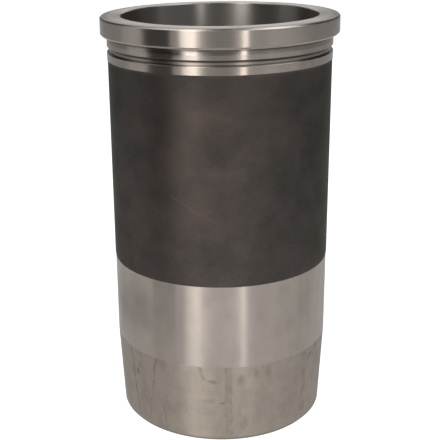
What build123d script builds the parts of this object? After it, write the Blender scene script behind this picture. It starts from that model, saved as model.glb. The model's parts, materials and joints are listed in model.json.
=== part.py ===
from build123d import *
from math import radians, tan
import os

# Wet cylinder liner of a heavy six-cylinder diesel: one centrifugal iron casting, turned and ground outside
# and honed inside. The collar hangs in the counterbore of the block, the fit belt below it carries the
# water jacket's upper seal ring, and the ground belt lower down runs through seal rings in the block.
#
# Millimetres. +Z runs up the bore towards the cylinder head, and the origin is on the axis at the foot.
# Every feature is round about Z, so each one is a half section drawn in the XZ plane and turned once round.

# Driving sizes -------------------------------------------------------------------------------------------

overall_length = 277.0  # foot to sealing face
bore_diameter = 130.0

# Walls and steps, outwards from the bore
jacket_wall = 9.2  # bore to the coated surface that the cooling water washes
fit_belt_step = 0.3  # upper fit belt, proud of the coated surface
lower_belt_step = 0.3  # lower ground belt, inside the coated surface
collar_overhang = 4.05  # collar, proud of the fit belt

# Collar
collar_height = 12.0  # seat to sealing face
sealing_face_width = 7.2  # flat ring round the bore, under the head gasket
crown_drop = 1.0  # fall of the crown from that ring to the rim
rim_edge_break = 0.3
seat_edge_chamfer = 1.0  # outer edge of the seat, clear of the counterbore's corner

# Relief under the collar, where the grinding wheel runs out
relief_length = 4.05
relief_depth = 0.4
relief_root_radius = 0.8

# Seal ring groove
groove_below_seat = 7.2  # seat to the groove's upper lip
groove_width = 3.65
groove_depth = 2.3
groove_floor_radius = 0.6
groove_lip_chamfer = 0.25
fit_belt_below_groove = 5.1  # ground land that is left under the groove
fit_belt_lead = 1.7  # coated cone below that land, which eases it into the block

# Lower end, heights above the foot
lower_belt_top = 113.5  # the coat ends here
lower_belt_runout = 1.7  # coated shoulder above the belt, where the grinding wheel runs out
skirt_height = 56.7  # the skirt starts to narrow here
skirt_half_angle = 3.0  # degrees
foot_lead_height = 1.9
foot_lead_width = 1.6

# Ends of the bore
bore_top_chamfer = 0.5
bore_foot_lead_height = 3.0
bore_foot_lead_width = 0.8

# Radii and levels that follow ----------------------------------------------------------------------------

bore_radius = bore_diameter / 2
jacket_radius = bore_radius + jacket_wall
fit_belt_radius = jacket_radius + fit_belt_step
lower_belt_radius = jacket_radius - lower_belt_step
collar_radius = fit_belt_radius + collar_overhang
sealing_face_radius = bore_radius + sealing_face_width
groove_floor = fit_belt_radius - groove_depth
relief_root = fit_belt_radius - relief_depth

rim_level = overall_length - crown_drop
seat_level = overall_length - collar_height
relief_level = seat_level - relief_length
groove_top = seat_level - groove_below_seat
groove_bottom = groove_top - groove_width
fit_belt_bottom = groove_bottom - fit_belt_below_groove

skirt_slope = tan(radians(skirt_half_angle))
skirt_foot_radius = lower_belt_radius - skirt_height * skirt_slope
foot_lead_radius = skirt_foot_radius + foot_lead_height * skirt_slope

SAME = 1e-4  # two lengths closer than this are one


def rings(part, radius, level):
    """The edges of a part that run round the axis at one radius and height."""
    circles = part.edges().filter_by(GeomType.CIRCLE)
    return circles.filter_by(
        lambda edge: abs(edge.radius - radius) < SAME and abs(edge.arc_center.Z - level) < SAME
    )


# Liner ---------------------------------------------------------------------------------------------------

with BuildPart() as cylinder_liner:
    # Turned blank: up the outside, in over the crown and back down the bore
    with BuildSketch(Plane.XZ):
        with BuildLine():
            Polyline(
                (bore_radius + bore_foot_lead_width, 0),
                (skirt_foot_radius - foot_lead_width, 0),
                (foot_lead_radius, foot_lead_height),
                (lower_belt_radius, skirt_height),
                (lower_belt_radius, lower_belt_top),
                (jacket_radius, lower_belt_top + lower_belt_runout),
                (jacket_radius, fit_belt_bottom - fit_belt_lead),
                (fit_belt_radius, fit_belt_bottom),
                (fit_belt_radius, seat_level),
                (collar_radius, seat_level),
                (collar_radius, rim_level - rim_edge_break),
                (collar_radius - rim_edge_break, rim_level),
                (sealing_face_radius, overall_length),
                (bore_radius, overall_length),
                (bore_radius, bore_foot_lead_height),
                close=True,
            )
        make_face()
    revolve(axis=Axis.Z)

    # Relief: a shallow cone that deepens towards the seat, with a rounded root
    with BuildSketch(Plane.XZ):
        with BuildLine():
            Polyline(
                (fit_belt_radius, relief_level),
                (fit_belt_radius, seat_level),
                (relief_root, seat_level),
                close=True,
            )
        make_face()
    revolve(axis=Axis.Z, mode=Mode.SUBTRACT)
    fillet(rings(cylinder_liner, relief_root, seat_level), relief_root_radius)

    # Seal ring groove: square sides, rounded floor corners, broken lips
    with BuildSketch(Plane.XZ) as groove_section:
        with Locations((groove_floor, groove_bottom)):
            Rectangle(2 * groove_depth, groove_width, align=(Align.MIN, Align.MIN))
        floor_corners = groove_section.vertices().group_by(Axis.X)[0]
        fillet(floor_corners, groove_floor_radius)
    revolve(axis=Axis.Z, mode=Mode.SUBTRACT)
    for lip_level in (groove_top, groove_bottom):
        chamfer(rings(cylinder_liner, fit_belt_radius, lip_level), groove_lip_chamfer)

    # Broken edges of the collar's seat and of the bore's upper end
    chamfer(rings(cylinder_liner, collar_radius, seat_level), seat_edge_chamfer)
    chamfer(rings(cylinder_liner, bore_radius, overall_length), bore_top_chamfer)

cylinder_liner.part.label = "cylinder_liner"

os.makedirs("parts", exist_ok=True)
export_step(cylinder_liner.part, "parts/cylinder_liner.step")
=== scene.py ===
"""A wet cylinder liner for a heavy diesel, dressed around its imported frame.

The liner is one centrifugal iron casting, turned and ground outside and honed inside. It is made here as
one lathe surface that stands for the frame's node, with its edges broken and every stretch of the outline
in the finish that its last operation left: ground, face turned, phosphate coated, plain turned or honed.

Section sizes, marks and stains are in millimetres, and a mesh, a lamp and the camera are in metres.
"""

import json
import logging
import math
from dataclasses import dataclass
from enum import IntEnum
from typing import Any

import bpy
import numpy as np
from mathutils import Matrix, Vector

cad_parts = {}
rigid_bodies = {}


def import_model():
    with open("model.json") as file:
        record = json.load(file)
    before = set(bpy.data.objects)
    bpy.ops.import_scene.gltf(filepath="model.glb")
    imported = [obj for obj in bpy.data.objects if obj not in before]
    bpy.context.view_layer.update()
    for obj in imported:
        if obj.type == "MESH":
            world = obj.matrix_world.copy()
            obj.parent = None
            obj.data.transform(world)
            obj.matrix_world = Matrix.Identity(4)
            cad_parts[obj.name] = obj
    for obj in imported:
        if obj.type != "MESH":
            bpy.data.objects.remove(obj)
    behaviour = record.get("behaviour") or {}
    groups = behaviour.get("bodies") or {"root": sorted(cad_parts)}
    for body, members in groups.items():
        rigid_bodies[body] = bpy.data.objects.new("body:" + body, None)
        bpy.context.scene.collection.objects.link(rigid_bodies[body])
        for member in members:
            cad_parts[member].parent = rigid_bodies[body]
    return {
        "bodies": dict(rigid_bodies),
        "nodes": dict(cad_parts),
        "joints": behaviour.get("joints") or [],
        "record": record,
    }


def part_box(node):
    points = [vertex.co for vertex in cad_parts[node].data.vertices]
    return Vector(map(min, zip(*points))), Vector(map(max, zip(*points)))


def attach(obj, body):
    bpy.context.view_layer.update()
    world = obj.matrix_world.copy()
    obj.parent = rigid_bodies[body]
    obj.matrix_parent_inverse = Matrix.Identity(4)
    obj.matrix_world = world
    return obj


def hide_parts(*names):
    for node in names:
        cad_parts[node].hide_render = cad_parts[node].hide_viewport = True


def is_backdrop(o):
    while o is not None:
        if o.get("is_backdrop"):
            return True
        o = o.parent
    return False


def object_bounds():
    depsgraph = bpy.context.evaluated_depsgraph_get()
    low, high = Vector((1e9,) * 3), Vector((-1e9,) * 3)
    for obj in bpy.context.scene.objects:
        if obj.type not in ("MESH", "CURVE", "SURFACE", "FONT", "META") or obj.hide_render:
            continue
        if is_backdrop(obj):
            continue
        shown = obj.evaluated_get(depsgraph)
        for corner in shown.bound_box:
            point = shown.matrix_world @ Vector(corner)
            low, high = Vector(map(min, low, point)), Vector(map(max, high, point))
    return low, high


LOG = logging.getLogger("cylinder_liner")
NODE = "cylinder_liner"
BODY = "root"
UV_MAP = "OFBake"  # U is the share of a turn from the seam at the back, V the share of the outline's length
MM = 0.001  # metres in a millimetre
QUARTER_TURN = 0.25

# Everywhere below, tree is the node tree that the nodes go into, and girth is the length in mm of one turn
# round the outside.
Tree = bpy.types.NodeTree
Node = bpy.types.Node
Socket = bpy.types.NodeSocket

# Sockets of a Mix node that mixes colours
FACTOR, COLOUR_A, COLOUR_B, RESULT = 0, 6, 7, 2


def linear(colour: str) -> tuple[float, float, float, float]:
    """Turns an sRGB colour, "#rrggbb", into the linear RGBA that a socket holds, with an alpha of 1.

    A channel up to 0.04045 is divided by 12.92. Any above that gains 0.055, is divided by 1.055 and taken to
    the power of 2.4.
    """
    parts = [int(colour[i : i + 2], 16) / 255 for i in (1, 3, 5)]
    red, green, blue = (c / 12.92 if c <= 0.04045 else ((c + 0.055) / 1.055) ** 2.4 for c in parts)
    return red, green, blue, 1.0


def add_node(tree: Tree, kind: str, inputs: dict | None = None, **settings: Any) -> Node:
    """Adds a node with its settings and links.

    Args:
        tree: The node tree.
        kind: The node's type after "ShaderNode", such as "Math".
        inputs: For each input's name or number, a value, a socket, or a node whose first output is meant.
        **settings: Attributes of the node.

    Returns:
        The new node.
    """
    node = tree.nodes.new("ShaderNode" + kind)
    for name, value in settings.items():
        setattr(node, name, value)
    for key, value in (inputs or {}).items():
        source = value.outputs[0] if isinstance(value, Node) else value
        if isinstance(source, Socket):
            tree.links.new(source, node.inputs[key])
        else:
            node.inputs[key].default_value = source
    return node


def new_object(name: str, data: bpy.types.ID) -> bpy.types.Object:
    """Makes an object and links it into the scene."""
    thing = bpy.data.objects.new(name, data)
    bpy.context.collection.objects.link(thing)
    return thing


def empty_material(name: str) -> bpy.types.Material:
    """Makes a node material with nothing in its tree."""
    material = bpy.data.materials.new(name)
    material.use_nodes = True
    material.node_tree.nodes.clear()
    return material


def stretched_noise(tree: Tree, place: Socket, flat: float, upright: float, detail: float) -> Node:
    """Adds noise on a place in metres, with grains that measure flat mm in plan and upright mm in height."""
    scale = (1 / (flat * MM), 1 / (flat * MM), 1 / (upright * MM))
    stretched = add_node(tree, "Mapping", {"Vector": place, "Scale": scale})
    return add_node(tree, "TexNoise", {"Vector": stretched, "Scale": 1.0, "Detail": detail})


def brushed(tree: Tree, anisotropy: float) -> dict:
    """The inputs of a metal whose marks run round the axis.

    The tangent runs along the map's U, which is round the axis too, and a quarter of a turn from it lies the
    way in which the marks scatter more light.
    """
    return {
        "Anisotropic": anisotropy,
        "Anisotropic Rotation": QUARTER_TURN,
        "Tangent": add_node(tree, "Tangent", direction_type="UV_MAP", uv_map=UV_MAP),
    }


def metal_surface(tree: Tree, colour: Node, roughness: Node, bump: Node, more: dict) -> None:
    """Ends a material: a metal's shader, with more inputs besides these, and the output."""
    inputs = {"Base Color": colour.outputs[RESULT], "Metallic": 1.0, "Roughness": roughness, "Normal": bump}
    shader = add_node(tree, "BsdfPrincipled", {**inputs, **more})
    add_node(tree, "OutputMaterial", {"Surface": shader})


# Finishes ------------------------------------------------------------


class Finish(IntEnum):
    """The finishes of the liner's outline, in the order of its material slots."""

    GROUND = 0
    FACED = 1
    COATED = 2
    TURNED = 3
    HONED = 4
    GROOVED = 5


@dataclass(frozen=True)
class Wrap:
    """Places on the outside of the liner, unrolled.

    Attributes:
        around: Distance round the liner in mm, 0 at the front and positive towards +X.
        height: Height above the foot in mm.
    """

    around: Socket
    height: Socket

    STRAY_SCALE = 0.15  # grains in a mm of the noise that moves the place

    @classmethod
    def read(cls, tree: Tree, girth: float) -> "Wrap":
        """Reads the unrolled place from the piece's map and its Object coordinates.

        The distance round is the map's U less a half, times the girth, and the height is Z in mm.
        """
        turn = add_node(tree, "UVMap", uv_map=UV_MAP)
        share = add_node(tree, "SeparateXYZ", {0: turn}).outputs["X"]
        from_front = add_node(tree, "Math", {0: share, 1: 0.5}, operation="SUBTRACT")
        around = add_node(tree, "Math", {0: from_front, 1: girth}, operation="MULTIPLY")
        place = add_node(tree, "TexCoord").outputs["Object"]
        metres = add_node(tree, "SeparateXYZ", {0: place}).outputs["Z"]
        height = add_node(tree, "Math", {0: metres, 1: 1 / MM}, operation="MULTIPLY")
        return cls(around.outputs[0], height.outputs[0])

    def wall(self, tree: Tree, stray: float = 0.0) -> Node:
        """Adds the place as one flat vector, which soft noise moves by up to stray mm each way.

        The noise runs from 0 to 1, so the place gains twice the stray times the noise, less the stray.
        """
        plain = add_node(tree, "CombineXYZ", {"X": self.around, "Y": self.height})
        if not stray:
            return plain
        noise = add_node(tree, "TexNoise", {"Vector": plain, "Scale": self.STRAY_SCALE, "Detail": 3.0})
        reach, middle = (2 * stray, 2 * stray, 0.0), (stray, stray, 0.0)
        moved = add_node(
            tree, "VectorMath", {0: noise.outputs["Color"], 1: reach, 2: plain}, operation="MULTIPLY_ADD"
        )
        return add_node(tree, "VectorMath", {0: moved, 1: middle}, operation="SUBTRACT")


@dataclass(frozen=True)
class SoftPatch:
    """A soft patch that darkens or lightens the colour. Some are stains that a hand, a cloth or the packing
    has left, and some are painted shade, a painted dark reflection and painted sheen.

    Attributes:
        around: Place of its middle round the liner, in mm from the front, positive towards +X.
        height: Height of its middle, in mm.
        length: Length in mm.
        width: Width in mm.
        slope: Slope of its length to the horizontal, in degrees.
        change: What it adds at its middle, negative where it takes away.
    """

    around: float
    height: float
    length: float
    width: float
    slope: float
    change: float

    def added(self, tree: Tree, wall: Socket | Node, to: Socket | Node) -> Node:
        """Adds the patch to a value.

        The unrolled wall is laid into an ellipse of the patch's size and slope, in which a ball's gradient
        falls from 1 in the middle to 0 at the rim. The value gains the change times that.
        """
        ellipse = {
            "Vector": wall,
            "Location": (self.around, self.height, 0.0),
            "Rotation": (0.0, 0.0, math.radians(self.slope)),
            "Scale": (self.length / 2, self.width / 2, 1.0),
        }
        inside = add_node(tree, "Mapping", ellipse, vector_type="TEXTURE")
        soft = add_node(tree, "TexGradient", {"Vector": inside}, gradient_type="SPHERICAL")
        return add_node(
            tree, "Math", {0: soft.outputs["Fac"], 1: self.change, 2: to}, operation="MULTIPLY_ADD"
        )


@dataclass(frozen=True)
class DarkRing:
    """A dark ring painted round the liner between two heights: painted shade in the groove's corners and
    under the collar's seat, and darker bands at the crown, the rim chamfer and the foot.

    Attributes:
        bottom: Height of its lower side, in mm.
        top: Height of its upper side, in mm.
        film: Darkening in its middle, from 0 to 1.
    """

    bottom: float
    top: float
    film: float

    def darkness(self, tree: Tree, wrap: Wrap) -> Node:
        """Adds the ring's darkening, which falls off over a quarter of its height on each side."""
        middle, half = (self.bottom + self.top) / 2, (self.top - self.bottom) / 2
        aside = add_node(tree, "Math", {0: wrap.height, 1: middle}, operation="SUBTRACT")
        aside = add_node(tree, "Math", {0: aside}, operation="ABSOLUTE")
        return add_node(
            tree, "MapRange", {"Value": aside, "From Min": half, "From Max": half / 2, "To Max": self.film}
        )


@dataclass(frozen=True)
class OilRun:
    """A run of preserving oil that has dried on the iron, darkest along its rim.

    Attributes:
        around: Place of its lower end round the liner, in mm from the front, positive towards +X.
        lean: How far its upper end stands aside from that, in mm.
        bottom: Height of its lower end, in mm.
        top: Height of its upper end, in mm.
        width: Width in mm.
        wander: How far it strays from a straight line, in mm.
        film: Darkening inside it, from 0 to 1.
        rim: Darkening added along its rim, from 0 to 1.
    """

    around: float
    lean: float
    bottom: float
    top: float
    width: float
    wander: float
    film: float
    rim: float = 0.0

    SWAY_SCALE = 0.12  # grains in a mm of the noise that moves it aside
    SOFT_EDGE = 1.2  # mm
    FADE = 3.0  # mm over which each end fades
    PATCH_SCALE = 0.14  # grains in a mm of the noise that wears it off in patches
    PATCHES = (0.36, 0.62)  # levels of that noise where the most is worn off and where none is
    REMAINS = 0.3  # share that remains where the most is worn off

    def darkness(self, tree: Tree, wrap: Wrap) -> Node:
        """Adds the run's darkening.

        The middle line runs from the lower to the upper end, and low noise along the height moves it aside.
        The film is whole inside the half width and falls off over a soft edge, the rim rises towards that
        edge, and the product of both fades at the two ends and in patches.
        """
        rise = add_node(
            tree, "MapRange", {"Value": wrap.height, "From Min": self.bottom, "From Max": self.top}
        )
        seed = add_node(tree, "CombineXYZ", {"X": self.around, "Y": wrap.height})
        sway = add_node(tree, "TexNoise", {"Vector": seed, "Scale": self.SWAY_SCALE, "Detail": 2.0})
        start = self.around - self.wander
        line = add_node(tree, "Math", {0: rise, 1: self.lean, 2: start}, operation="MULTIPLY_ADD")
        line = add_node(tree, "Math", {0: sway, 1: 2 * self.wander, 2: line}, operation="MULTIPLY_ADD")
        aside = add_node(tree, "Math", {0: wrap.around, 1: line}, operation="SUBTRACT")
        aside = add_node(tree, "Math", {0: aside}, operation="ABSOLUTE")
        half, soft = self.width / 2, min(self.SOFT_EDGE, self.width / 3)
        levels = {"Value": aside, "From Min": half + soft, "From Max": half - soft}
        inside = add_node(tree, "MapRange", levels, interpolation_type="SMOOTHSTEP")
        levels = {"Value": aside, "From Min": half - 2 * soft, "From Max": half}
        tone = add_node(tree, "MapRange", {**levels, "To Min": self.film, "To Max": self.film + self.rim})
        fade = min(self.FADE, (self.top - self.bottom) / 4)
        ends = [
            add_node(tree, "MapRange", {"Value": wrap.height, "From Min": end, "From Max": whole})
            for end, whole in ((self.bottom, self.bottom + fade), (self.top, self.top - fade))
        ]
        patches = add_node(
            tree, "TexNoise", {"Vector": wrap.wall(tree), "Scale": self.PATCH_SCALE, "Detail": 2.0}
        )
        worn, whole = self.PATCHES
        left = {"Value": patches, "From Min": worn, "From Max": whole, "To Min": self.REMAINS}
        for factor in (*ends, add_node(tree, "MapRange", left), tone):
            inside = add_node(tree, "Math", {0: inside, 1: factor}, operation="MULTIPLY")
        return inside


@dataclass(frozen=True)
class BareIron:
    """Bare grey iron, ground or turned, so that its marks run round the axis.

    The marks draw every highlight out along the axis, and what is left of the lathe's and the wheel's
    chatter breaks it into faint upright bands.

    Attributes:
        name: The material's name.
        clean: Colour of the clean metal.
        dull: Colour where the marks lie deeper.
        roughness: Middle roughness.
        spread: How far the roughness goes to each side of it.
        anisotropy: How much more the marks scatter light across themselves than along themselves.
        mark_mm: Spacing of the tool marks that is drawn.
        mark_depth_mm: Their depth.
        chatter_mm: Spacing of the upright bands.
        chatter_depth_mm: Their depth.
        clouds: How far patches of old oil dull the metal, from 0 to 1.
        specks: How far fine specks darken it, from 0 to 1.
        soft_patches: Soft patches that darken it: stains left by handling and packing, and painted shade and
            a painted dark reflection under the collar.
        marks: Dried oil runs, and dark rings: painted shade in corners and under the collar, and darker
            bands at edges.
    """

    name: str
    clean: str
    dull: str
    roughness: float
    spread: float
    anisotropy: float
    mark_mm: float
    mark_depth_mm: float
    chatter_mm: float = 3.0
    chatter_depth_mm: float = 0.0
    clouds: float = 0.0
    specks: float = 0.0
    soft_patches: tuple[SoftPatch, ...] = ()
    marks: tuple[OilRun | DarkRing, ...] = ()

    # colour that stains and painted shade darken the metal towards
    OIL_AND_SHADE = "#2f2a24"
    MARK_LENGTH = 60  # times the marks' spacing
    BAND_LENGTH = 80  # times the bands' spacing
    CLOUD = (9.0, 14.0, 3.0)  # width in mm, height in mm and detail
    CLOUDED = (0.42, 0.72)  # levels of the noise from none to full
    SPECK = (1.1, 1.6, 1.0)
    SPECKED = (0.66, 0.74)
    UNEVEN = (0.25, 0.85)  # marks, stains and painted shade together, at the lowest and at the highest roughness
    PATCH_STRAY = 1.5  # mm by which the soft patches' rims wander

    def stains_and_shade(self, tree: Tree, place: Socket, wrap: Wrap) -> Node:
        """Puts the clouds, the specks, the soft patches and the marks together into one darkening of stains
        and painted shade.

        The darker of clouds and specks counts, the soft patches add to it, and each mark counts where it is
        darker than that.
        """
        spots = []
        for grain, (low, high), most in (
            (self.CLOUD, self.CLOUDED, self.clouds),
            (self.SPECK, self.SPECKED, self.specks),
        ):
            noise = stretched_noise(tree, place, *grain)
            levels = {"Value": noise, "From Min": low, "From Max": high, "To Max": most}
            spots.append(add_node(tree, "MapRange", levels))
        total = add_node(tree, "Math", {0: spots[0], 1: spots[1]}, operation="MAXIMUM")
        wall = wrap.wall(tree, self.PATCH_STRAY) if self.soft_patches else None
        for soft_patch in self.soft_patches:
            total = soft_patch.added(tree, wall, total)
        for mark in self.marks:
            total = add_node(tree, "Math", {0: total, 1: mark.darkness(tree, wrap)}, operation="MAXIMUM")
        return total

    def material(self, girth: float) -> bpy.types.Material:
        """Builds the material."""
        material = empty_material(self.name)
        tree = material.node_tree
        place = add_node(tree, "TexCoord").outputs["Object"]
        marks = stretched_noise(tree, place, self.MARK_LENGTH * self.mark_mm, self.mark_mm, 2.0)
        stains_and_shade = self.stains_and_shade(tree, place, Wrap.read(tree, girth))

        shades = {FACTOR: marks, COLOUR_A: linear(self.clean), COLOUR_B: linear(self.dull)}
        metal = add_node(tree, "Mix", shades, data_type="RGBA").outputs[RESULT]
        shades = {FACTOR: stains_and_shade, COLOUR_A: metal, COLOUR_B: linear(self.OIL_AND_SHADE)}
        colour = add_node(tree, "Mix", shades, data_type="RGBA")
        uneven = add_node(tree, "Math", {0: marks, 1: stains_and_shade}, operation="ADD")
        even, most = self.UNEVEN
        low, high = self.roughness - self.spread, self.roughness + self.spread
        levels = {"Value": uneven, "From Min": even, "From Max": most, "To Min": low, "To Max": high}
        roughness = add_node(tree, "MapRange", levels)
        bump = add_node(tree, "Bump", {"Height": marks, "Distance": self.mark_depth_mm * MM})
        if self.chatter_depth_mm:
            chatter = stretched_noise(tree, place, self.chatter_mm, self.BAND_LENGTH * self.chatter_mm, 3.0)
            bump = add_node(
                tree, "Bump", {"Height": chatter, "Distance": self.chatter_depth_mm * MM, "Normal": bump}
            )
        metal_surface(tree, colour, roughness, bump, brushed(tree, self.anisotropy))
        return material


@dataclass(frozen=True)
class PhosphateCoat:
    """Manganese phosphate on iron, oiled: a dark crystalline layer, matt, clouded where the bath dried.

    Attributes:
        name: The material's name.
        dark: Colour of the coat where it is dry, and in its painted shade.
        pale_and_sheen: Colour where it is rubbed, and of the painted sheen on the coat's middle.
        edge: How much of its mirroring is left at a grazing view, which rough crystals cut.
        dull: Roughness where it is dry.
        rubbed: Roughness where it is rubbed.
        grain_mm: Spacing of the crystals that is drawn. Real ones are some hundredths of a millimetre.
        grain_depth_mm: Their depth.
        cloud_mm: Size of the clouds.
        soft_patches: Patches left by handling, and tall patches of painted sheen and painted shade.
    """

    name: str
    dark: str
    pale_and_sheen: str
    edge: str
    dull: float
    rubbed: float
    grain_mm: float
    grain_depth_mm: float
    cloud_mm: float
    soft_patches: tuple[SoftPatch, ...] = ()

    STRAY = 2.5  # mm by which the soft patches' rims wander
    CLOUD_FALL = 0.58  # strength of each finer layer of the clouds against the layer before
    GRAIN_SHARE = 0.3  # what the crystals add to the clouds
    WEAR = (0.25, 1.6)  # clouds, crystals and soft patches together, where it is dry and where it is rubbed

    def material(self, girth: float) -> bpy.types.Material:
        """Builds the material."""
        material = empty_material(self.name)
        tree = material.node_tree
        wall = Wrap.read(tree, girth).wall(tree, self.STRAY)
        clouds = add_node(
            tree,
            "TexNoise",
            {"Vector": wall, "Scale": 1 / self.cloud_mm, "Detail": 4.0, "Roughness": self.CLOUD_FALL},
        )
        grain = add_node(tree, "TexNoise", {"Vector": wall, "Scale": 1 / self.grain_mm, "Detail": 2.0})
        rub = add_node(tree, "Math", {0: grain, 1: self.GRAIN_SHARE, 2: clouds}, operation="MULTIPLY_ADD")
        for soft_patch in self.soft_patches:
            rub = soft_patch.added(tree, wall, rub)
        dry, worn = self.WEAR
        share = add_node(tree, "MapRange", {"Value": rub, "From Min": dry, "From Max": worn})
        shades = {FACTOR: share, COLOUR_A: linear(self.dark), COLOUR_B: linear(self.pale_and_sheen)}
        colour = add_node(tree, "Mix", shades, data_type="RGBA")
        roughness = add_node(tree, "MapRange", {"Value": share, "To Min": self.dull, "To Max": self.rubbed})
        bump = add_node(tree, "Bump", {"Height": grain, "Distance": self.grain_depth_mm * MM})
        metal_surface(tree, colour, roughness, bump, {"Specular Tint": linear(self.edge)})
        return material


@dataclass(frozen=True)
class HonedBore:
    """Plateau honed iron: two sets of fine grooves that cross, and smooth plateaus between them.

    Attributes:
        name: The material's name.
        clean: Colour of the plateaus.
        groove: Colour of the grooves.
        roughness: Middle roughness.
        anisotropy: How much more light scatters along the bore than round it.
        lay_degrees: Angle of each set to the horizontal.
        spacing_mm: Spacing of the grooves that is drawn. Real ones are a few tenths of that apart.
        depth_mm: Their depth.
    """

    name: str
    clean: str
    groove: str
    roughness: float
    anisotropy: float
    lay_degrees: float
    spacing_mm: float
    depth_mm: float

    LENGTH = 50  # times the grooves' spacing
    CUT = (0.44, 0.34)  # levels of the noise from plateau to groove
    SMOOTHER, ROUGHER = 0.004, 0.008  # roughness of plateaus and grooves, off the middle

    def material(self, girth: float) -> bpy.types.Material:
        """Builds the material.

        Each set of grooves is noise on the unrolled wall, turned to its lay and drawn out along it. The
        bore's own turn is a little shorter than the girth, which only sets the grooves a little closer.
        """
        material = empty_material(self.name)
        tree = material.node_tree
        wall = Wrap.read(tree, girth).wall(tree)
        across = 1 / self.spacing_mm
        sets = []
        for way in (1, -1):
            lay = {"Vector": wall, "Angle": math.radians(way * self.lay_degrees)}
            turned = add_node(tree, "VectorRotate", lay, rotation_type="Z_AXIS")
            scale = (across / self.LENGTH, across, 1.0)
            stretched = add_node(tree, "Mapping", {"Vector": turned, "Scale": scale})
            sets.append(add_node(tree, "TexNoise", {"Vector": stretched, "Scale": 1.0, "Detail": 2.0}))
        grooves = add_node(tree, "Math", {0: sets[0], 1: sets[1]}, operation="MINIMUM")
        plateau, groove = self.CUT
        share = add_node(tree, "MapRange", {"Value": grooves, "From Min": plateau, "From Max": groove})
        shades = {FACTOR: share, COLOUR_A: linear(self.clean), COLOUR_B: linear(self.groove)}
        colour = add_node(tree, "Mix", shades, data_type="RGBA")
        bump = add_node(tree, "Bump", {"Height": share, "Distance": self.depth_mm * MM}, invert=True)
        low, high = self.roughness - self.SMOOTHER, self.roughness + self.ROUGHER
        roughness = add_node(tree, "MapRange", {"Value": share, "To Min": low, "To Max": high})
        metal_surface(tree, colour, roughness, bump, brushed(tree, self.anisotropy))
        return material


# Stains, painted shade and painted sheen ------------------------------

# The numbers of a soft patch are around, height, length, width, slope and change, those of an OilRun around,
# lean, bottom, top, width, wander, film and rim, and those of a dark ring bottom, top and film.

GROUND_STAINS_AND_SHADE = (
    SoftPatch(-86, 86, 36, 50, 0, 0.34),
    SoftPatch(-62, 90, 40, 46, 0, 0.21),
    SoftPatch(-52, 85, 70, 80, 0, 0.13),
    SoftPatch(48, 85, 60, 80, 0, 0.08),
    SoftPatch(11, 64, 7, 22, 0, 0.13),
    SoftPatch(64, 95, 26, 50, 0, 0.08),
    SoftPatch(-83, 57.5, 4, 3, 0, 0.4),
    SoftPatch(-35, 262, 24, 5, 0, 0.4),  # painted shade under the collar, and at the front a painted dark reflection
    SoftPatch(-26, 261.8, 14, 5, 0, 0.56),
    SoftPatch(-2, 262.4, 13, 4, 0, 0.4),
    SoftPatch(5.5, 262.2, 13, 4, 0, 0.4),
)

GROUND_MARKS = (
    OilRun(59.3, -0.9, 78, 112, 1.8, 0.5, 0.2),
    OilRun(66.5, -1.6, 80, 112, 2.2, 0.6, 0.22),
    OilRun(-76, -2, 70, 112, 2.4, 1, 0.12),
    OilRun(8, 1, 56, 80, 2, 0.9, 0.14),
    OilRun(86, 2, 57, 66, 1.6, 1, 0.3),
)

COAT_WIPES_SHEEN_AND_SHADE = (
    SoftPatch(-20, 166.5, 50, 2.4, -29, 0.26),  # the edge of a wipe
    SoftPatch(-30, 158, 44, 22, -25, 0.13),
    SoftPatch(-6, 189, 52, 9, 0, 0.16),
    SoftPatch(2, 223, 40, 7, -14, 0.14),
    SoftPatch(-18, 205, 34, 60, 0, 0.08),
    SoftPatch(-10, 226, 44, 40, 0, 0.08),
    SoftPatch(55, 232, 50, 34, -55, -0.16),
    SoftPatch(-61, 184, 20, 8, -50, -0.13),
    # tall patches: painted sheen down the coat's middle and left, and painted shade on its right
    SoftPatch(-14, 185, 56, 112, 0, 0.21),
    SoftPatch(72, 185, 42, 120, 0, -0.2),
    SoftPatch(24, 132, 34, 40, 0, -0.2),
    SoftPatch(-30, 190, 34, 120, 0, 0.16),
    SoftPatch(-5, 222, 34, 50, 0, 0.18),
    SoftPatch(54, 165, 34, 140, 0, -0.2),
    SoftPatch(-4, 129, 60, 1, 0.5, -0.16),  # fine scratches round the wall
    SoftPatch(-26, 144, 56, 0.9, 1.5, -0.14),
    SoftPatch(36, 138, 50, 0.9, -1, -0.1),
)

TURNED_SMEARS = (
    SoftPatch(-66.4, 39.8, 4, 5, 0, 0.56),
    SoftPatch(-64, 45, 7, 9, 0, 0.26),
    SoftPatch(-62, 26, 16, 40, 0, 0.1),
    SoftPatch(-6, 45.6, 10, 3.6, -4, 0.42),
    SoftPatch(0.8, 29.4, 6, 2.4, 24, 0.4),
    SoftPatch(-8, 31, 12, 5, 10, 0.21),
    SoftPatch(13, 46.5, 9, 12, 0, 0.29),
    SoftPatch(16, 14, 8, 16, 0, 0.26),
    SoftPatch(33, 50, 6, 12, 0, 0.18),
    SoftPatch(24, 50, 5, 12, 0, 0.21),
    SoftPatch(72, 50.5, 11, 2.6, 30, 0.58),
    SoftPatch(80, 54, 12, 2.2, 12, 0.51),
    SoftPatch(50, 34, 30, 50, 0, 0.06),
)

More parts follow.
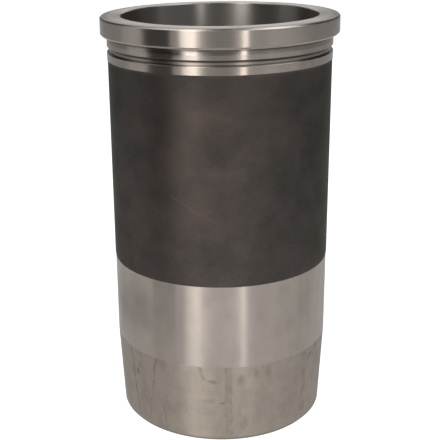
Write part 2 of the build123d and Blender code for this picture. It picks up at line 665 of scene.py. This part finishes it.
TURNED_MARKS = (
    # two darker bands at the foot
    DarkRing(-0.6, 2.6, 0.2),
    DarkRing(1.7, 2.7, 0.3),
    OilRun(-68.6, -5.6, 3, 60, 1.5, 1.6, 0.5),
    OilRun(-64, -3, 4, 40, 1.2, 2.4, 0.2),
    OilRun(-56.5, 10.5, 8, 60, 1.8, 2.2, 0.3),
    OilRun(-58, 3, 12, 59, 15, 3, 0.05, 0.15),
    OilRun(-40.3, -2.6, 2.5, 24, 1.3, 1.2, 0.28),
    OilRun(-11, -4, 45, 58, 3, 1, 0.36),
    OilRun(6, -1.6, 3, 60, 5, 2.6, 0.2, 0.12),
    OilRun(14, -2, 2.5, 30, 2.2, 2.2, 0.2),
    OilRun(28, 1, 30, 58, 2, 2, 0.12),
    OilRun(67, -3, 6, 57, 5, 2.6, 0.2),
    OilRun(58, 1, 6, 40, 1.6, 2, 0.12),
)


# Liner ---------------------------------------------------------------


@dataclass(frozen=True)
class Corner:
    """One corner of the half section.

    Attributes:
        radius: Distance from the axis in mm.
        height: Height above the foot in mm.
        edge: Radius that the corner is rounded to, in mm.
        finish: Finish of the rounding and of the straight stretch that follows.
    """

    radius: float
    height: float
    edge: float
    finish: Finish


def rounded_outline(corners: list[Corner], steps: int) -> tuple[np.ndarray, np.ndarray, np.ndarray]:
    """Rounds a closed outline's corners, all of them at once.

    At each corner the outline turns by an angle t. The arc starts a length of radius x tan(|t| / 2) before
    the corner, its centre lies to the side of the turn, and its points are the first one turned about that
    centre by equal shares of t. The outward normal is the incoming direction's right-hand normal, turned by
    the same shares, so it is exact on both straights.

    Args:
        corners: The corners in order, with the metal on the left of the way round.
        steps: Points on each arc.

    Returns:
        Points (n, 2), outward normals (n, 2), both as radius and height, and the finish after each point.
    """
    points = np.array([(c.radius, c.height) for c in corners])
    edges = np.array([c.edge for c in corners])[:, None]
    before = points - np.roll(points, 1, axis=0)
    after = np.roll(points, -1, axis=0) - points
    before /= np.linalg.norm(before, axis=1, keepdims=True)
    after /= np.linalg.norm(after, axis=1, keepdims=True)
    cross = before[:, 0] * after[:, 1] - before[:, 1] * after[:, 0]
    turn = np.arctan2(cross, (before * after).sum(axis=1))[:, None]
    left = np.stack((-before[:, 1], before[:, 0]), axis=1)
    start = points - before * edges * np.tan(np.abs(turn) / 2)
    centre = start + left * edges * np.sign(turn)

    angle = turn * np.linspace(0, 1, steps)
    cosine, sine = np.cos(angle), np.sin(angle)

    def turned(vector: np.ndarray) -> np.ndarray:
        """Turns each corner's vector by its arc's angles."""
        x, y = vector[:, :1], vector[:, 1:]
        return np.stack((x * cosine - y * sine, x * sine + y * cosine), axis=2)

    arcs = centre[:, None, :] + turned(start - centre)
    normals = turned(-left)
    finishes = np.repeat([int(c.finish) for c in corners], steps)
    return arcs.reshape(-1, 2), normals.reshape(-1, 2), finishes


@dataclass(frozen=True)
class Lathe:
    """Turns a closed outline once round the Z axis.

    Attributes:
        segments: Facets in a turn.
    """

    segments: int

    def mesh(
        self, name: str, outline: np.ndarray, normals: np.ndarray, finishes: np.ndarray
    ) -> bpy.types.Mesh:
        """Builds the mesh, with its normals, its map and the finish of each face.

        A vertex is (r cos a, r sin a, z) for each of the outline's points (r, z) and each angle a of the
        turn, which starts at the back. The mesh closes on itself both ways, and the map doesn't: it runs
        to 1 on the last face of each way.

        Args:
            name: The mesh's name.
            outline: Radius and height of each point, in mm.
            normals: Outward normal at each point.
            finishes: Finish of the stretch after each point.

        Returns:
            The mesh in metres.
        """
        turns, rings = self.segments, len(outline)
        angle = math.pi / 2 + np.arange(turns) * 2 * math.pi / turns
        cosine, sine = np.cos(angle)[:, None], np.sin(angle)[:, None]

        def swept(pairs: np.ndarray) -> np.ndarray:
            """Carries (radial, axial) pairs round the axis."""
            radial, axial = pairs[:, 0], pairs[:, 1]
            grid = np.stack((radial * cosine, radial * sine, axial + 0 * cosine), axis=2)
            return grid.reshape(-1, 3)

        across, along = np.meshgrid(np.arange(turns), np.arange(rings), indexing="ij")
        steps = ((0, 0), (1, 0), (1, 1), (0, 1))
        corners = [(across + a) % turns * rings + (along + b) % rings for a, b in steps]
        faces = np.stack(corners, axis=2).reshape(-1, 4)

        lengths = np.linalg.norm(np.roll(outline, -1, axis=0) - outline, axis=1)
        share = np.concatenate(([0.0], np.cumsum(lengths))) / lengths.sum()
        places = [((across + a) / turns, share[along + b]) for a, b in steps]
        uv = np.stack([np.stack(place, axis=2) for place in places], axis=2).reshape(-1, 2)

        mesh = bpy.data.meshes.new(name)
        mesh.from_pydata((swept(outline) * MM).tolist(), [], faces.tolist())
        mesh.uv_layers.new(name=UV_MAP).data.foreach_set("uv", uv.ravel())
        mesh.polygons.foreach_set("material_index", np.tile(finishes, turns))
        mesh.polygons.foreach_set("use_smooth", np.ones(len(faces), bool))
        mesh.normals_split_custom_set_from_vertices(swept(normals).tolist())
        mesh.validate()
        return mesh


@dataclass(frozen=True)
class CylinderLiner:
    """The liner: its section in millimetres and its finishes.

    Radii and levels that the frame states are read from it. The rest are the same as the model's, but for
    two that were settled after it: the collar's top falls less towards its rim here and has a wider edge
    there, and the groove is 0.6 mm shallower.

    Attributes:
        bore: Radius of the bore.
        fit_belt: Radius of the fit belt below the collar.
        lower_belt: Radius of the lower ground belt.
        collar: Radius of the collar.
        height: Foot to sealing face.
        seat: Level of the collar's seat.
        lower_belt_foot: Level where the skirt starts to narrow.
        lower_belt_top: Level where the coat ends.
        fit_belt_foot: Level of the fit belt's lower end.
    """

    bore: float
    fit_belt: float
    lower_belt: float
    collar: float
    height: float
    seat: float
    lower_belt_foot: float
    lower_belt_top: float
    fit_belt_foot: float

    coat_step: float = 0.3  # the coated surface stands between the two ground belts
    sealing_face_width: float = 7.2
    crown_drop: float = 0.15
    rim_chamfer: float = 1.0
    seat_chamfer: float = 1.0
    relief_length: float = 4.05
    relief_depth: float = 0.4
    groove_top_below_seat: float = 7.2
    groove_width: float = 3.65
    groove_depth: float = 1.7
    groove_lip: float = 0.25
    coat_lead: float = 1.7  # length of the coated cones at both ends of the coat
    skirt_degrees: float = 3.0
    foot_lead_height: float = 1.9
    foot_lead_width: float = 1.6
    bore_chamfer: float = 0.5
    bore_lead_height: float = 3.0
    bore_lead_width: float = 0.8

    SEGMENTS = 512  # facets in a turn
    ARC_POINTS = 5  # on each rounded corner

    @classmethod
    def from_frame(cls, frame: dict) -> "CylinderLiner":
        """Reads the radii and levels from the frame's mounts and box."""
        mounts = {mount["name"]: mount for mount in frame["record"]["mounts"]}

        def radius(name: str) -> float:
            """A round mount's radius."""
            return mounts[name]["dims"]["r_mm"]

        def level(name: str, ends: float = 0.0) -> float:
            """A mount's level, moved up by a share of half its length."""
            length = mounts[name]["dims"].get("length_mm", 0.0)
            return mounts[name]["pos_m"][2] / MM + ends * length / 2

        return cls(
            bore=radius("bore"),
            fit_belt=radius("fit_belt_below_groove"),
            lower_belt=radius("lower_belt"),
            collar=radius("collar_rim"),
            height=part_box(NODE)[1][2] / MM,
            seat=level("seat"),
            lower_belt_foot=level("lower_belt", -1),
            lower_belt_top=level("lower_belt", 1),
            fit_belt_foot=level("fit_belt_below_groove", -1),
        )

    def corners(self) -> list[Corner]:
        """The half section's corners, from the foot of the bore out, up the outside and down the bore."""
        jacket = self.fit_belt - self.coat_step
        slope = math.tan(math.radians(self.skirt_degrees))
        foot = self.lower_belt - self.lower_belt_foot * slope
        rim = self.height - self.crown_drop
        groove_top = self.seat - self.groove_top_below_seat
        groove_foot = groove_top - self.groove_width
        groove_floor = self.fit_belt - self.groove_depth
        lip = self.groove_lip
        return [
            Corner(self.bore + self.bore_lead_width, 0, 0.2, Finish.FACED),
            Corner(foot - self.foot_lead_width, 0, 0.25, Finish.TURNED),
            Corner(foot + self.foot_lead_height * slope, self.foot_lead_height, 0.4, Finish.TURNED),
            Corner(self.lower_belt, self.lower_belt_foot, 2.0, Finish.GROUND),
            Corner(self.lower_belt, self.lower_belt_top, 0.2, Finish.COATED),
            Corner(jacket, self.lower_belt_top + self.coat_lead, 1.0, Finish.COATED),
            Corner(jacket, self.fit_belt_foot - self.coat_lead, 1.0, Finish.COATED),
            Corner(self.fit_belt, self.fit_belt_foot, 0.2, Finish.GROUND),
            Corner(self.fit_belt, groove_foot - lip, 0.1, Finish.GROOVED),
            Corner(self.fit_belt - lip, groove_foot, 0.1, Finish.GROOVED),
            Corner(groove_floor, groove_foot, 0.6, Finish.GROOVED),
            Corner(groove_floor, groove_top, 0.6, Finish.GROOVED),
            Corner(self.fit_belt - lip, groove_top, 0.1, Finish.GROOVED),
            Corner(self.fit_belt, groove_top + lip, 0.1, Finish.GROUND),
            Corner(self.fit_belt, self.seat - self.relief_length, 0.5, Finish.GROUND),
            Corner(self.fit_belt - self.relief_depth, self.seat, 0.8, Finish.FACED),
            Corner(self.collar - self.seat_chamfer, self.seat, 0.15, Finish.FACED),
            Corner(self.collar, self.seat + self.seat_chamfer, 0.2, Finish.GROUND),
            Corner(self.collar, rim - self.rim_chamfer, 0.25, Finish.FACED),
            Corner(self.collar - self.rim_chamfer, rim, 0.25, Finish.FACED),
            Corner(self.bore + self.sealing_face_width, self.height, 0.5, Finish.FACED),
            Corner(self.bore + self.bore_chamfer, self.height, 0.1, Finish.FACED),
            Corner(self.bore, self.height - self.bore_chamfer, 0.1, Finish.HONED),
            Corner(self.bore, self.bore_lead_height, 0.5, Finish.TURNED),
        ]

    def finishes(self) -> tuple[BareIron | PhosphateCoat | HonedBore, ...]:
        """The finishes, in the order of the slots."""
        rim = self.height - self.crown_drop
        groove_top = self.seat - self.groove_top_below_seat
        groove_foot = groove_top - self.groove_width
        # cylindrical grinding: close, even marks and a soft gleam drawn out along the axis
        ground = BareIron(
            name="ground_grey_iron",
            clean="#beb5ad",
            dull="#bbb2aa",
            roughness=0.26,
            spread=0.004,
            anisotropy=1.0,
            mark_mm=0.5,
            mark_depth_mm=0.0001,
            chatter_mm=3.5,
            chatter_depth_mm=0.0006,
            clouds=0.1,
            soft_patches=GROUND_STAINS_AND_SHADE,
            # the dark ring just under the collar's seat is painted shade
            marks=(*GROUND_MARKS, DarkRing(self.seat - 2.1, self.seat + 0.6, 0.5)),
        )
        # facing cut on a lathe: rings that show as a fan of light on the flat
        faced = BareIron(
            name="faced_grey_iron",
            clean="#c4beb8",
            dull="#b7b0a9",
            roughness=0.33,
            spread=0.02,
            anisotropy=0.8,
            mark_mm=0.4,
            mark_depth_mm=0.001,
            clouds=0.15,
            specks=0.2,
            marks=(
                # two darker bands: over the crown, and round the top of the rim's chamfer
                DarkRing(rim - 0.08, self.height - 0.01, 0.45),
                DarkRing(rim - 0.6, rim + 0.06, 0.3),
            ),
        )
        # bath-grown manganese phosphate with oil in it: nearly black, matt and slightly brown, with painted
        # sheen on its middle and painted shade on its right
        coated = PhosphateCoat(
            name="oiled_phosphate_coat",
            dark="#40403d",
            pale_and_sheen="#7c6e69",
            edge="#c4cac8",
            dull=0.45,
            rubbed=0.38,
            grain_mm=1.3,
            grain_depth_mm=0.01,
            cloud_mm=24.0,
            soft_patches=COAT_WIPES_SHEEN_AND_SHADE,
        )
        # plain turning, left as it came off the tool: duller than the ground belt and spotted by oil
        turned = BareIron(
            name="turned_grey_iron",
            clean="#bab0a6",
            dull="#b0a69c",
            roughness=0.43,
            spread=0.02,
            anisotropy=0.8,
            mark_mm=0.6,
            mark_depth_mm=0.0015,
            chatter_mm=3.0,
            chatter_depth_mm=0.002,
            clouds=0.16,
            specks=0.22,
            soft_patches=TURNED_SMEARS,
            marks=TURNED_MARKS,
        )
        # plateau honing: crossed grooves on a wall that mirrors along the bore
        honed = HonedBore(
            name="honed_grey_iron",
            clean="#b2aeaa",
            groove="#aeaaa6",
            roughness=0.28,
            anisotropy=0.8,
            lay_degrees=28.0,
            spacing_mm=0.5,
            depth_mm=0.00005,
        )
        # form-tool groove: coarser marks than the ground belt on each side of it, in colours a little darker
        # than the belt's that paint some of the groove's shade
        grooved = BareIron(
            name="grooved_grey_iron",
            clean="#b0a8a1",
            dull="#a49c95",
            roughness=0.34,
            spread=0.02,
            anisotropy=0.9,
            mark_mm=0.4,
            mark_depth_mm=0.0006,
            marks=(
                # painted shade: dark rings under the upper lip, at the lower lip and in the lower corner
                DarkRing(groove_top - 1.75, groove_top + 0.9, 0.8),
                DarkRing(groove_foot - 0.3, groove_foot + 0.3, 0.1),
                DarkRing(groove_foot, groove_foot + 0.9, 0.75),
            ),
        )
        return ground, faced, coated, turned, honed, grooved

    def build(self) -> bpy.types.Object:
        """Makes the liner, dresses it and puts it in the frame."""
        outline, normals, finishes = rounded_outline(self.corners(), self.ARC_POINTS)
        mesh = Lathe(self.SEGMENTS).mesh("liner", outline, normals, finishes)
        girth = 2 * math.pi * self.lower_belt
        for finish in self.finishes():
            mesh.materials.append(finish.material(girth))
        piece = new_object("liner", mesh)
        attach(piece, BODY)
        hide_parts(NODE)
        return piece


# Studio --------------------------------------------------------------


@dataclass(frozen=True)
class Panel:
    """Where a lamp or a card stands: a rectangle that faces the liner.

    Attributes:
        azimuth: Its direction from the liner in degrees, 0 towards the camera and positive towards +X.
        elevation: Its direction above the horizon in degrees.
        across: Its width in degrees, as seen from the liner.
        upright: Its height in degrees, as seen from the liner.
        distance: Its distance in metres.
    """

    azimuth: float
    elevation: float
    across: float
    upright: float
    distance: float = 1.6

    @property
    def size(self) -> tuple[float, float]:
        """Its width and height in metres."""
        wide, high = (2 * self.distance * math.tan(math.radians(a) / 2) for a in (self.across, self.upright))
        return wide, high

    def stand(self, thing: bpy.types.Object, target: Vector) -> None:
        """Puts an object at the panel's place, with its Z axis away from the target."""
        turn, rise = math.radians(self.azimuth), math.radians(self.elevation)
        away = Vector((math.sin(turn) * math.cos(rise), -math.cos(turn) * math.cos(rise), math.sin(rise)))
        thing.location = target + away * self.distance
        thing.rotation_euler = away.to_track_quat("Z", "Y").to_euler()


@dataclass(frozen=True)
class Sheet:
    """Where a bright sheet lies: a rectangle on the floor.

    Attributes:
        distance: Distance of its middle in front of the liner's axis, in metres.
        size: Its width and depth in metres.
    """

    distance: float
    size: tuple[float, float]

    CLEAR = 0.002  # metres above the floor

    def stand(self, thing: bpy.types.Object, target: Vector) -> None:
        """Lays an object there with its Z axis down, so that a lamp shines up."""
        thing.location = (target.x, target.y - self.distance, self.CLEAR)
        thing.rotation_euler = (math.pi, 0.0, 0.0)


@dataclass(frozen=True)
class SoftBox:
    """A lamp with an even face.

    Attributes:
        name: The lamp's name.
        panel: Its place and size.
        radiance: Brightness of its face, where 1 is a white that just clips.
        colour: Colour of its light.
    """

    name: str
    panel: Panel | Sheet
    radiance: float
    colour: str = "#ffffff"

    def build(self, target: Vector) -> None:
        """Makes the lamp, which shows in the metal and not to the camera.

        A face of radiance 1 gives off pi watts from each square metre.
        """
        wide, high = self.panel.size
        lamp = bpy.data.lights.new(self.name, "AREA")
        lamp.shape = "RECTANGLE"
        lamp.size, lamp.size_y = wide, high
        lamp.energy = self.radiance * math.pi * wide * high
        lamp.color = linear(self.colour)[:3]
        holder = new_object(self.name, lamp)
        self.panel.stand(holder, target)
        holder.visible_camera = False


@dataclass(frozen=True)
class Flag:
    """A dim card that only shapes what the metal mirrors.

    Attributes:
        name: The card's name.
        panel: Its place and size.
        radiance: Brightness of its face, where 1 is white.
    """

    name: str
    panel: Panel
    radiance: float = 0.0

    def build(self, target: Vector) -> None:
        """Makes the card, which casts no shadow and doesn't show to the camera."""
        wide, high = self.panel.size
        corners = [(x * wide / 2, y * high / 2, 0.0) for x, y in ((-1, -1), (1, -1), (1, 1), (-1, 1))]
        mesh = bpy.data.meshes.new(self.name)
        mesh.from_pydata(corners, [], [(0, 1, 2, 3)])
        material = empty_material(self.name)
        face = add_node(material.node_tree, "Emission", {"Strength": self.radiance})
        add_node(material.node_tree, "OutputMaterial", {"Surface": face})
        mesh.materials.append(material)
        card = new_object(self.name, mesh)
        self.panel.stand(card, target)
        card.visible_camera = card.visible_diffuse = card.visible_shadow = False
        card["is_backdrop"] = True


@dataclass(frozen=True)
class Studio:
    """A white floor in a dark room, with soft boxes and dim cards.

    Attributes:
        floor_radius: Radius of the floor in metres.
        floor_mirrored: How bright the floor is in metal, where 1 is as bright as to the camera.
        room: How bright the dark room is around the lamps.
        boxes: The lamps.
        flags: The cards.
    """

    WARM = "#fffbf6"  # light of the strips in front, a trace warmer than the others
    FLOOR_PAINT = "#9a9a9a"
    FLOOR_SIDES = 96

    floor_radius: float = 12.0
    floor_mirrored: float = 0.285
    room: float = 0.04
    boxes: tuple[SoftBox, ...] = (
        SoftBox("strip_left", Panel(-28.5, 29, 16.6, 62), 1.95, WARM),
        SoftBox("strip_left_upper", Panel(-28.5, 46, 13.2, 28), 15.5, WARM),
        SoftBox("strip_right", Panel(23, 29, 5.6, 62), 3.9, WARM),
        SoftBox("strip_right_upper", Panel(23, 46, 4.6, 28), 10.5, WARM),
        SoftBox("edge_right_upper", Panel(36, 46, 12.5, 28), 1.4),
        SoftBox("fill_right", Panel(72.5, 46, 38.2, 28), 3.1),
        SoftBox("fill_left", Panel(-92, 36, 23.5, 48), 1.07),
        SoftBox("back_low", Panel(180, 7, 60, 14), 0.17),
        SoftBox("back", Panel(180, 27, 46, 18), 1.4),
        SoftBox("back_upper", Panel(180, 46, 50, 22), 0.5),
        SoftBox("above_left", Panel(-96, 66, 16, 15), 2.8),
        SoftBox("above_right", Panel(94, 67, 20, 16), 2.8),
        SoftBox("sheet_front", Sheet(0.3, (0.3, 0.2)), 0.42),
    )
    flags: tuple[Flag, ...] = (
        Flag("flag_front", Panel(0.5, 29, 37, 62, 0.6), 0.15),
        Flag("flag_front_lower", Panel(0.5, -11.5, 37, 19, 0.6), 0.42),
        Flag("flag_left", Panel(-57, 9, 27, 58, 0.45)),
    )

    def background(self, tree: Tree, mirrored: float) -> Node:
        """Adds the background's strength: 1 to the camera, and a share of that in metal and glass."""
        ray = add_node(tree, "LightPath")
        indirect = add_node(
            tree,
            "Math",
            {0: ray.outputs["Is Glossy Ray"], 1: ray.outputs["Is Transmission Ray"]},
            operation="MAXIMUM",
        )
        indirect = add_node(tree, "Math", {0: indirect, 1: mirrored}, operation="MULTIPLY")
        return add_node(tree, "Math", {0: ray.outputs["Is Camera Ray"], 1: indirect}, operation="MAXIMUM")

    def floor(self) -> None:
        """Makes the floor: white to the camera, dimmer in the metal, with the liner's shadow on it."""
        turn = np.linspace(0, 2 * math.pi, self.FLOOR_SIDES, endpoint=False)
        rim = np.stack((np.cos(turn), np.sin(turn), 0 * turn), axis=1) * self.floor_radius
        mesh = bpy.data.meshes.new("floor")
        mesh.from_pydata(rim.tolist(), [], [list(range(len(turn)))])
        material = empty_material("white_table")
        tree = material.node_tree
        shaded = add_node(tree, "BsdfDiffuse", {"Color": linear(self.FLOOR_PAINT)})
        glow = add_node(tree, "Emission", {"Strength": self.background(tree, self.floor_mirrored)})
        white = add_node(tree, "AddShader", {0: shaded, 1: glow})
        add_node(tree, "OutputMaterial", {"Surface": white})
        mesh.materials.append(material)
        new_object("floor", mesh)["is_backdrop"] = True

    def world(self) -> None:
        """Makes the world: white to the camera behind the floor, and a dark room to all else."""
        world = bpy.data.worlds.new("room")
        world.use_nodes = True
        world.node_tree.nodes.clear()
        tree = world.node_tree
        white = self.background(tree, self.room)
        level = add_node(tree, "Math", {0: white, 1: self.room}, operation="MAXIMUM")
        sky = add_node(tree, "Background", {"Color": linear("#ffffff"), "Strength": level})
        add_node(tree, "OutputWorld", {"Surface": sky})
        bpy.context.scene.world = world

    def build(self, target: Vector) -> None:
        """Makes the whole studio around the target."""
        self.floor()
        self.world()
        for thing in (*self.boxes, *self.flags):
            thing.build(target)


@dataclass(frozen=True)
class Viewpoint:
    """The camera, by the angles that the liner's rings and outline are seen at.

    Attributes:
        place: Its place in metres.
        down: How far it looks down, in degrees.
        aside: How far it is turned from +Y towards +X, in degrees.
        roll: How far its right-hand side is raised, in degrees.
        lens: Focal length in mm on the sensor.
        sensor: Width of the sensor in mm.
        shift: Sideways shift, as a share of the frame.
    """

    place: tuple[float, float, float] = (0.0, -0.63963, 0.35031)
    down: float = 18.673
    aside: float = -1.787
    roll: float = -0.849
    lens: float = 78.56
    sensor: float = 36.0
    shift: float = 0.0635

    def build(self) -> None:
        """Makes the scene's camera.

        Its level axis lies across the way it looks, and the roll turns that and the upright one about it.
        """
        data = bpy.data.cameras.new("camera")
        data.lens, data.sensor_width, data.shift_x = self.lens, self.sensor, self.shift
        camera = new_object("camera", data)
        dip, turn, roll = (math.radians(a) for a in (self.down, self.aside, self.roll))
        ahead = Vector((math.sin(turn) * math.cos(dip), math.cos(turn) * math.cos(dip), -math.sin(dip)))
        level = Vector((math.cos(turn), -math.sin(turn), 0.0))
        upright = level.cross(ahead)
        right = level * math.cos(roll) + upright * math.sin(roll)
        above = upright * math.cos(roll) - level * math.sin(roll)
        axes = Matrix((right, above, -ahead)).transposed().to_4x4()
        camera.matrix_world = Matrix.Translation(self.place) @ axes
        bpy.context.scene.camera = camera


def main() -> None:
    """Builds the liner and the studio around the frame."""
    logging.basicConfig(level=logging.INFO, format="%(name)s: %(message)s")
    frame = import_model()
    cad_box = [list(corner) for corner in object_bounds()]

    liner = CylinderLiner.from_frame(frame).build()
    LOG.info("%s: %d faces, %d finishes", liner.name, len(liner.data.polygons), len(liner.data.materials))
    Viewpoint().build()
    Studio().build(Vector((0.0, 0.0, (cad_box[0][2] + cad_box[1][2]) / 2)))
    bpy.context.scene.view_settings.view_transform = "Standard"


if __name__ == "__main__":
    main()
